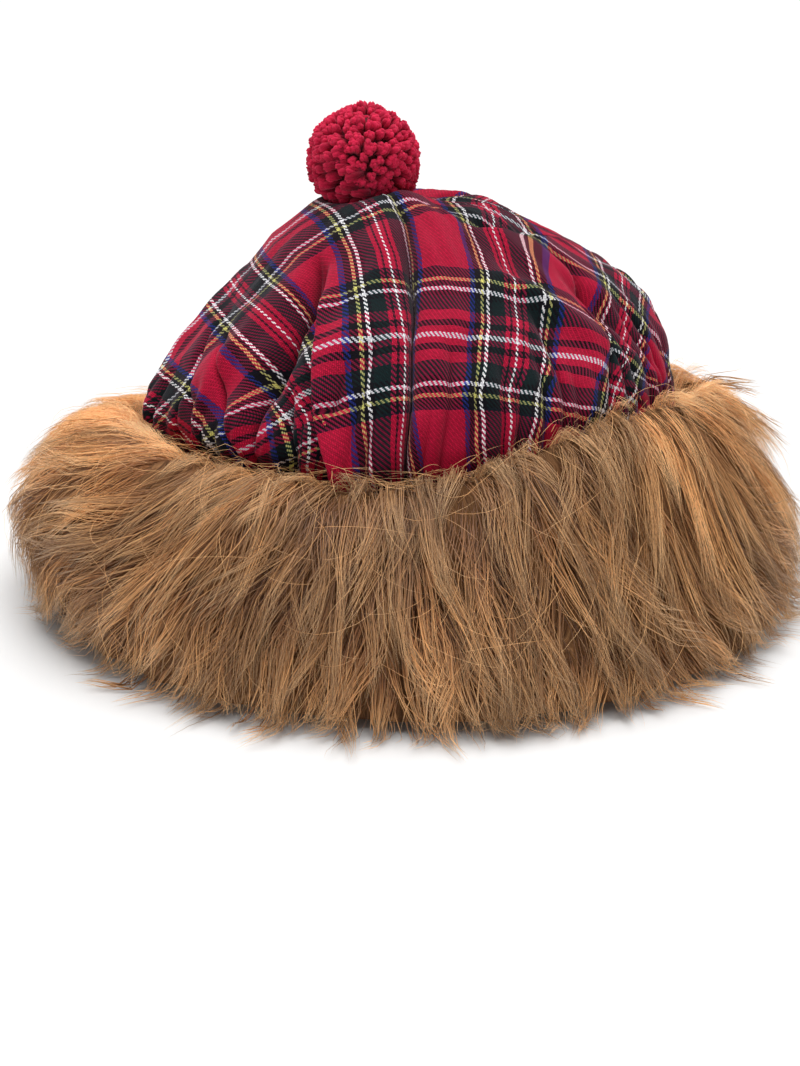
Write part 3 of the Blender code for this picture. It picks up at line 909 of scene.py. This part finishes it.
# The share of a lock's strands that lie loose, and how far the others gather at its tip.
LOOSE_SHARE = 0.09
GATHERED = (0.60, 0.93)
STRAND_TINT = 1.1
TUFT_STRANDS = 26
TUFT_REACH = 27.55
COLLAR_LOCKS = 46
COLLAR_STRANDS = 8
COLLAR_RADIUS = 0.00010
COLLAR_LEVEL = (0.074, 0.087)


def lock_azimuths(sector, count, rng):
    """Azimuths in radians of a count of locks spread over one quarter."""
    places = (np.arange(count) + rng.uniform(-0.9, 0.9, count)) / count * 90 - 45
    return np.radians(SECTORS[sector] + places)


def lock_table(tier, sector, rng):
    """The locks of one tier in one quarter of the band, as columns of numbers."""
    count = tier["locks"] // len(SECTORS)
    azimuth = lock_azimuths(sector, count, rng)
    root = rng.uniform(tier["from"], tier["to"], count)
    place = np.stack([azimuth * ROUND_AT, root], -1)
    round_ = wrapped(np.degrees(azimuth))
    flow = at_place(FLOW, round_) + FLOW_SWAY * waves(place, 12, 40, 110, 41)
    # Painted light and shade: upper tiers paler and lower ones darker, more so at the sides.
    pale = tier["pale"] * at_place(PAINTED_LIGHTING_ROUND, round_)
    return {
        "azimuth": azimuth, "root": root, "long": rng.uniform(*tier["long"], count),
        "turn": np.radians(flow + tier["stray"] * rng.normal(0, 1, count)),
        "bend": np.radians(BEND_SWAY * waves(place, 12, 36, 100, 42) + rng.normal(0, LOCK_BEND, count)),
        "wave": np.radians(rng.uniform(*LOCK_WAVE, count)), "phase": rng.uniform(0, 1, count),
        "lift": tier["lift"] * rng.uniform(0.2, 1.5, count) ** 1.5,
        "wide": rng.uniform(*LOCK_WIDE, count),
        "tint": pale + TINT_SWAY * waves(place, 12, 30, 90, 43) + rng.normal(0, LOCK_TINT, count),
        "reach": FLOOR_REACH * rng.uniform(0.2, 1.15, count)}


def tuft_table(sector, rng):
    """The single tufts of one quarter, with the same columns."""
    near = [t for t in TUFTS if abs(wrapped(t["azimuth"] - SECTORS[sector])) <= 45]
    count = len(near)
    column = {key: np.array([float(t[key]) for t in near]) for key in TUFTS[0]}
    return {
        "azimuth": np.radians(column["azimuth"]), "root": column["root"], "long": column["long"],
        "turn": np.radians(column["turn"]), "bend": np.radians(rng.normal(0, 12, count)),
        "wave": np.radians(rng.uniform(8, 18, count)), "phase": rng.uniform(0, 1, count),
        "lift": column["lift"], "wide": np.full(count, 6.0), "tint": rng.normal(0.6, 0.4, count),
        "reach": np.full(count, TUFT_REACH)}


def walk(way, step):
    """How far paths go sideways and down, whose steps head at angles in radians."""
    start = np.zeros((len(way), 1))
    return (np.concatenate([start, np.cumsum(turned(way[:, :-1]) * step, 1)], 1)
            for turned in (np.sin, np.cos))


def taper(t):
    """The thickness along a strand that ends in a point."""
    return np.clip(1.05 - 0.97 * t ** 1.7, 0.06, 1)


def lock_strands(pile, locks, each, shade, fine, rng):
    """Paths, radii, tints and shares along the strands of a table of locks. shade is the
    share along a strand's colours that its root has, set higher on the upper tiers as painted
    light, and fine a share of the full radius."""
    t = np.linspace(0, 1, STRAND_POINTS + 1)
    total = len(locks["root"]) * each

    def spread(name, jitter=0.0):
        return (np.repeat(locks[name], each) + rng.normal(0, 1, total) * jitter)[:, None]

    angle = rng.uniform(0, 2 * math.pi, total)
    wide = np.sqrt(rng.uniform(0, 1, total)) * np.repeat(locks["wide"], each)
    loose = rng.uniform(0, 1, total) < LOOSE_SHARE
    gather = np.where(loose, rng.uniform(0.0, 0.5, total), rng.uniform(*GATHERED, total))
    close = 1 - gather[:, None] * t[None, :] ** 1.2
    room = pile.end + spread("reach") - spread("root")
    lengths = np.minimum(spread("long"), room) * rng.uniform(0.72, 1.04, (total, 1))
    way = (spread("turn") + loose[:, None] * rng.normal(0, 0.14, (total, 1)) + spread("bend", 0.04) * t
           + spread("wave") * np.sin(2 * math.pi * (t * 1.1 + spread("phase", 0.03))))
    side, down = walk(way, lengths / STRAND_POINTS)
    side += (np.cos(angle) * wide)[:, None] * close
    down += (np.sin(angle) * wide * 0.8)[:, None] * close + spread("root")
    rise = (rng.uniform(-5, 1, (total, 1)) * close - 6 * (1 - t) ** 3
            + spread("lift", 0.8) * t ** 1.4 + loose[:, None] * rng.uniform(0, 4, (total, 1)) * t)
    paths = pile.at(spread("azimuth") + side / ROUND_AT, np.maximum(down, 0), rise)
    thick = taper(t) * (0.35 + 0.65 * smooth(0, 0.3, t))
    radii = STRAND_RADIUS * fine * rng.uniform(0.35, 1.15, (total, 1)) * thick
    shades = np.broadcast_to(shade + (1 - shade) * t, (total, len(t)))
    return paths, radii, spread("tint", STRAND_TINT)[:, 0], shades


def collar_strands(pile, sector, rng):
    """Short hairs that fill the gap between the pile's crest and the crown."""
    t = np.linspace(0, 1, STRAND_POINTS + 1)
    total = COLLAR_LOCKS * COLLAR_STRANDS
    azimuth = np.repeat(lock_azimuths(sector, COLLAR_LOCKS, rng), COLLAR_STRANDS)[:, None]
    start = pile.at(azimuth + rng.normal(0, 0.025, (total, 1)), rng.uniform(34, 60, (total, 1)),
                    np.full((total, 1), -2.0))
    lean = np.repeat(rng.normal(0, 0.16, COLLAR_LOCKS), COLLAR_STRANDS)[:, None]
    aim = azimuth + lean + rng.normal(0, 0.045, (total, 1))
    radius = 1 / np.hypot(np.sin(aim) / (CROWN_WIDTH / 2), np.cos(aim) / (CROWN_DEPTH / 2))
    radius = radius + rng.uniform(1.0, 6.5, (total, 1)) * MM
    level = np.repeat(rng.uniform(*COLLAR_LEVEL, COLLAR_LOCKS), COLLAR_STRANDS)[:, None]
    end = heading(aim) * radius[..., None] + UP * (level + rng.normal(0, 0.004, (total, 1)))[..., None]
    share = t[None, :, None]
    arch = (rng.uniform(0, 2.5, (total, 1)) * MM * np.sin(math.pi * t))[..., None] * UP
    paths = start * (1 - share) + end * share + arch
    radii = COLLAR_RADIUS * rng.uniform(0.7, 1.2, (total, 1)) * taper(t)
    return paths, radii, rng.normal(1.0, 1.0, total), np.broadcast_to(0.6 + 0.4 * t, (total, len(t)))


def fur_strands(pile, sector, rng):
    """The strands of one quarter of the band."""
    parts = []
    for tier in FUR_TIERS:
        locks = lock_table(tier, sector, rng)
        parts.append(lock_strands(pile, locks, tier["strands"], tier["shade"], tier["fine"], rng))
    tufts = tuft_table(sector, rng)
    if len(tufts["root"]):
        parts.append(lock_strands(pile, tufts, TUFT_STRANDS, 0.1, 1.0, rng))
    parts.append(collar_strands(pile, sector, rng))
    return [np.concatenate(columns) for columns in zip(*parts)]


def strand_object(name, paths, radii, tints, alongs, paint, flat):
    verts, faces, size = tubes(paths, radii, flat=flat)
    obj = mesh_object(name, verts, faces)
    give(obj, "tint", np.repeat(tints, size))
    give(obj, "along", np.concatenate([np.repeat(alongs[:, :-1], 3, axis=1), alongs[:, -1:]], 1))
    steps = paths.shape[1] - 1
    give(obj, "across", np.tile(np.concatenate([np.tile([0.0, -1.0, 1.0], steps), [0.0]]), len(paths)))
    finish_piece(obj, "fur_band", paint)


def make_fur(pile, paint):
    for number, sector in enumerate(SECTORS):
        rng = np.random.default_rng(100 + number)
        strand_object("fur_pile_" + sector, *fur_strands(pile, sector, rng), paint, STRAND_FLAT)


STRAYS = 420
BORDER_STRAYS = 300
STRAY_RADIUS = 0.00009


def make_strays(pile, paint):
    """Loose hairs: some lean in over the cloth, some stand off the pile."""
    rng = np.random.default_rng(77)
    count = STRAYS + BORDER_STRAYS

    def pick(low, high):
        return rng.uniform(low, high, (count, 1))

    t = np.linspace(0, 1, 7)[None, :]
    border = (np.arange(count) < BORDER_STRAYS)[:, None]
    azimuth = np.radians(pick(-180, 180))
    root = np.where(border, pick(36, 54), pick(50, 135))
    length = np.where(border, pick(14, 40), pick(20, 48))
    way = np.where(border, pick(60, 215), rng.normal(0, 40, (count, 1)))
    way = np.radians(way + rng.normal(0, 60, (count, 1)) * t)
    side, down = walk(way, length / (t.shape[1] - 1))
    arch = pick(3, 12) * np.sin(math.pi * np.clip(t * 0.8, 0, 1))
    down = np.clip(down + root, 26, pile.end + 12)
    rise = np.where(border, 1 + 0.4 * arch + np.clip(54 - down, 0, 30) * 0.5, arch * 0.8 - 2 * (1 - t))
    paths = pile.at(azimuth + side / ROUND_AT, down, rise)
    radii = STRAY_RADIUS * np.broadcast_to(1 - 0.8 * t ** 2, (count, 7))
    shades = np.broadcast_to(0.6 + 0.4 * t, (count, 7))
    # Painted highlight: the loose hairs get a pale tint that stands in for the light they catch.
    strand_object("fur_stray_hairs", paths, radii, rng.normal(3.0, 0.6, count), shades, paint, 1.0)


def fur_paint():
    n = Nodes("fur_strands", 0.40, Specular_IOR_Level=0.45, Sheen_Weight=0.1)
    along, tint, across = n.attribute("along"), n.attribute("tint"), n.attribute("across")
    shade = n.ramp(along, [(0.0, rgb(100, 64, 36)), (0.3, rgb(152, 102, 61)), (0.7, rgb(204, 155, 103)),
                           (1.0, rgb(232, 194, 148))])
    place = n.combine(n.times(across, 2.3), n.times(tint, 37.0), n.times(along, 1.5))
    number = n.add(n.times(tint, 0.13), n.noise(1.0, 1.0, place))
    tone = n.ramp(number, [(0.1, (0.46, 0.40, 0.35, 1)), (0.5, (0.96, 0.94, 0.92, 1)),
                           (1.0, (1.95, 1.88, 1.76, 1))])
    n.set("Base Color", n.multiply(shade, tone))
    return n.material


UNDERPILE_DEPTH = -6.0
UNDERPILE_WAVES = 2.0


def make_underpile(pile, paint):
    """The dense dark pile under the strands, closed by its underside and the backing."""
    columns = 180
    azimuth = full_turn(columns)
    lengths = np.linspace(2.0, pile.end - 3.0, 34)
    grid_a, grid_l = np.meshgrid(azimuth, lengths)
    around = np.stack([np.cos(grid_a) * 150 + grid_l * 0.3, np.sin(grid_a) * 150 + grid_l * 0.3], -1)
    depth = UNDERPILE_DEPTH + UNDERPILE_WAVES * waves(around, 16, 12, 40, 31)
    rings = list(pile.at(grid_a, grid_l, depth))
    hem, rim = RIM_RADIUS + BAND_FLARE + BACKING, RIM_RADIUS + BACKING
    inside = [(hem + 0.055, 0.010), (hem + 0.020, 0.010), (hem, 0.010), (rim, RIM_HEIGHT / 2),
              (rim, RIM_HEIGHT - 0.008)]
    rings += [heading(azimuth) * radius + UP * height for radius, height in inside]
    verts = np.concatenate(rings)
    obj = mesh_object("fur_underpile", verts, ring_grid(len(rings), columns, True))
    give(obj, "round", np.tile(azimuth * ROUND_AT, len(rings)))
    downs = np.concatenate([lengths, lengths[-1] + np.arange(len(inside)) * 30.0])
    give(obj, "down", np.repeat(downs, columns))
    finish_piece(obj, "fur_band", paint)


def underpile_paint():
    n = Nodes("fur_underpile", 0.7, Specular_IOR_Level=0.2)
    round_, down = n.attribute("round"), n.attribute("down")
    sway = n.times(n.noise(0.05, 2.0, n.combine(round_, down)), 40.0)
    grain = n.noise(1.0, 5.0, n.combine(n.add(n.times(round_, 1.6), sway), n.times(down, 0.07)))
    n.set("Base Color", n.ramp(grain, [(0.30, rgb(78, 50, 29)), (0.52, rgb(126, 86, 53)),
                                       (0.70, rgb(170, 124, 80))]))
    n.bump(grain, 0.0015)
    return n.material


def make_backing(paint):
    """The knitted strip that the fur grows from, seen inside the head opening."""
    columns = 240
    azimuth = full_turn(columns)
    levels = np.linspace(0.0, RIM_HEIGHT - 0.0006, 14)
    inner, outer = [], []
    for level in levels:
        flare = BAND_FLARE * max(0.0, 1 - level / (RIM_HEIGHT / 2))
        ripple = 0.0007 * np.sin(azimuth * 41) * (level / RIM_HEIGHT)
        radius = RIM_RADIUS + flare + 0.0004 + ripple
        inner.append(heading(azimuth) * radius[:, None] + UP * level)
        outer.append(heading(azimuth) * (radius[:, None] + 0.0018) + UP * level)
    verts = np.concatenate(inner + outer[::-1])
    obj = mesh_object("fur_backing", verts, ring_grid(28, columns, True))
    finish_piece(obj, "fur_band", paint)


def backing_paint():
    n = Nodes("knitted_backing", 0.9, Sheen_Weight=0.2)
    x, y, z = n.split(n.node("ShaderNodeTexCoord", output=3))
    ribs = n.math("SINE", n.times(n.math("ARCTAN2", x, y), 380.0))
    courses = n.math("SINE", n.times(z, 3600.0))
    knit = n.add(n.math("ABSOLUTE", ribs), n.times(courses, 0.4))
    n.set("Base Color", n.ramp(knit, [(0.0, rgb(96, 66, 42)), (0.9, rgb(158, 118, 82))]))
    n.bump(knit, 0.0004)
    return n.material


# The pompom
BALL_CENTRE = np.array([BUTTON_SIDE - 0.0016, BUTTON_BACK, 0.1990])
BALL_SIZE = np.array([0.0270, 0.0270, 0.0262])
YARN_ENDS = 540
PLIES = 3
YARN_END = 0.009
PLY_RADIUS = 0.00145
PLY_OFFSET = 0.00108
PLY_TWIST = 1.6
# Painted light and shade on the yarn ends by height on the ball: paler on top, darker below.
TOP_PAINTED_LIGHT = 3.0
CORE_SHARE = 0.80

# The dent at the top of the ball, and the side where the yarn ends lean over.
NOTCH = np.array([0.10, -0.25, 1.0])
NOTCH_DEPTH = 0.20
LEANING_AT = np.array([-0.9, -0.45, -0.55])
LEANING = np.array([-0.9, 0.1, -0.05])
PLY_PLACES = [0.0, 0.50, 0.80, 0.93, 1.0]
PLY_SHAPE = [0.85, 1.0, 0.96, 0.66, 0.0]


def make_pompom(paint, painted_shade_core_paint):
    rng = np.random.default_rng(9)
    k = np.arange(YARN_ENDS) + 0.5
    level = 1 - 2 * k / YARN_ENDS
    turn = k * math.pi * (3 - math.sqrt(5))
    flat = np.sqrt(1 - level ** 2)
    way = np.stack([flat * np.cos(turn), flat * np.sin(turn), level], -1)
    way = unit(way + rng.normal(0, 0.05, way.shape))
    near = np.clip((way @ unit(NOTCH) - 0.965) / 0.03, 0, 1)
    reach = 1.0 + rng.normal(0, 0.016, YARN_ENDS) + 0.030 * waves(way[:, ::2] * 30, 8, 20, 50, 3)
    reach -= near * NOTCH_DEPTH
    reach[way[:, 2] < -0.75] *= 0.93
    sideways = smooth(0.35, 0.8, way @ unit(LEANING_AT))[:, None]
    lean = unit(way * (1 - 0.8 * sideways) + rng.normal(0, 0.17, way.shape) + sideways * LEANING)
    side = unit(np.cross(lean, rng.normal(0, 1, way.shape)))
    second = np.cross(lean, side)
    t = np.array(PLY_PLACES)
    tip = BALL_CENTRE + way * BALL_SIZE * reach[:, None]
    base = tip - lean * YARN_END
    paths, radii, tints = [], [], []
    for ply in range(PLIES):
        angle = 2 * math.pi * ply / PLIES + t * PLY_TWIST
        off = PLY_OFFSET * (1 - 0.3 * t ** 3)
        path = base[:, None] + (tip - base)[:, None] * t[None, :, None]
        path = path + side[:, None] * (off * np.cos(angle))[None, :, None]
        path = path + second[:, None] * (off * np.sin(angle))[None, :, None]
        path[:, -1] += lean * rng.uniform(-0.0006, 0.0004, (YARN_ENDS, 1))
        paths.append(path)
        radii.append(PLY_RADIUS * rng.uniform(0.85, 1.2, (YARN_ENDS, 1)) * np.array(PLY_SHAPE)[None, :])
        # Painted light and shade: tint by the yarn end's height on the ball.
        tints.append(rng.normal(0, 1, YARN_ENDS) + TOP_PAINTED_LIGHT * np.minimum(way[:, 2] + 0.2, 0.3))
    verts, faces, size = tubes(np.concatenate(paths), np.concatenate(radii), sides=6)
    obj = mesh_object("pompom_yarn", verts, faces)
    give(obj, "tint", np.repeat(np.concatenate(tints), size))
    rows = np.concatenate([np.repeat(t[:-1], 6), [1.0]])
    give(obj, "along", np.tile(rows, YARN_ENDS * PLIES))
    finish_piece(obj, "pompom", paint)

    # A core inside the ball, painted dark as the shade between the yarn ends.
    columns, count = 48, 24
    rings = []
    for polar in np.linspace(0.05, math.pi - 0.05, count):
        round_ = heading(full_turn(columns)) * math.sin(polar)
        rings.append(BALL_CENTRE + (round_ + UP * math.cos(polar)) * BALL_SIZE * CORE_SHARE)
    core = mesh_object("pompom_painted_shade_core", np.concatenate(rings), ring_grid(count, columns))
    finish_piece(core, "pompom", painted_shade_core_paint)


def yarn_paint():
    n = Nodes("crimson_yarn", 0.9, Sheen_Weight=0.2, Sheen_Roughness=0.6,
              Sheen_Tint=(1.0, 0.35, 0.45, 1.0), Specular_IOR_Level=0.1)
    along, tint = n.attribute("along"), n.attribute("tint")
    place = n.node("ShaderNodeTexCoord", output=3)
    fuzz = n.noise(1400.0, 4.0, place)
    # Painted shade: each yarn end darkens towards the inside of the ball, between the ends.
    shade = n.ramp(along, [(0.0, rgb(92, 4, 26)), (0.5, rgb(146, 12, 42)), (1.0, rgb(208, 34, 72))])
    tone = n.ramp(n.add(n.times(tint, 0.12), fuzz),
                  [(0.2, (0.70, 0.65, 0.65, 1)), (0.8, (1.3, 1.3, 1.3, 1))])
    n.set("Base Color", n.multiply(shade, tone))
    n.bump(fuzz, 0.0004)
    return n.material


# Painted shade: the core is a dark red that stands in for the shade between the yarn ends.
def painted_shade_core_paint():
    n = Nodes("yarn_core_painted_shade", 0.95)
    fuzz = n.noise(500.0, 4.0, n.node("ShaderNodeTexCoord", output=3))
    n.set("Base Color", n.ramp(fuzz, [(0.3, rgb(50, 2, 12)), (0.7, rgb(96, 6, 24))]))
    n.bump(fuzz, 0.001)
    return n.material


# The whole hat
make_camera()
make_stage()
pile = Pile()
make_underpile(pile, underpile_paint())
make_backing(backing_paint())
strands = fur_paint()
make_fur(pile, strands)
make_strays(pile, strands)
make_crown(tartan())
make_pompom(yarn_paint(), painted_shade_core_paint())
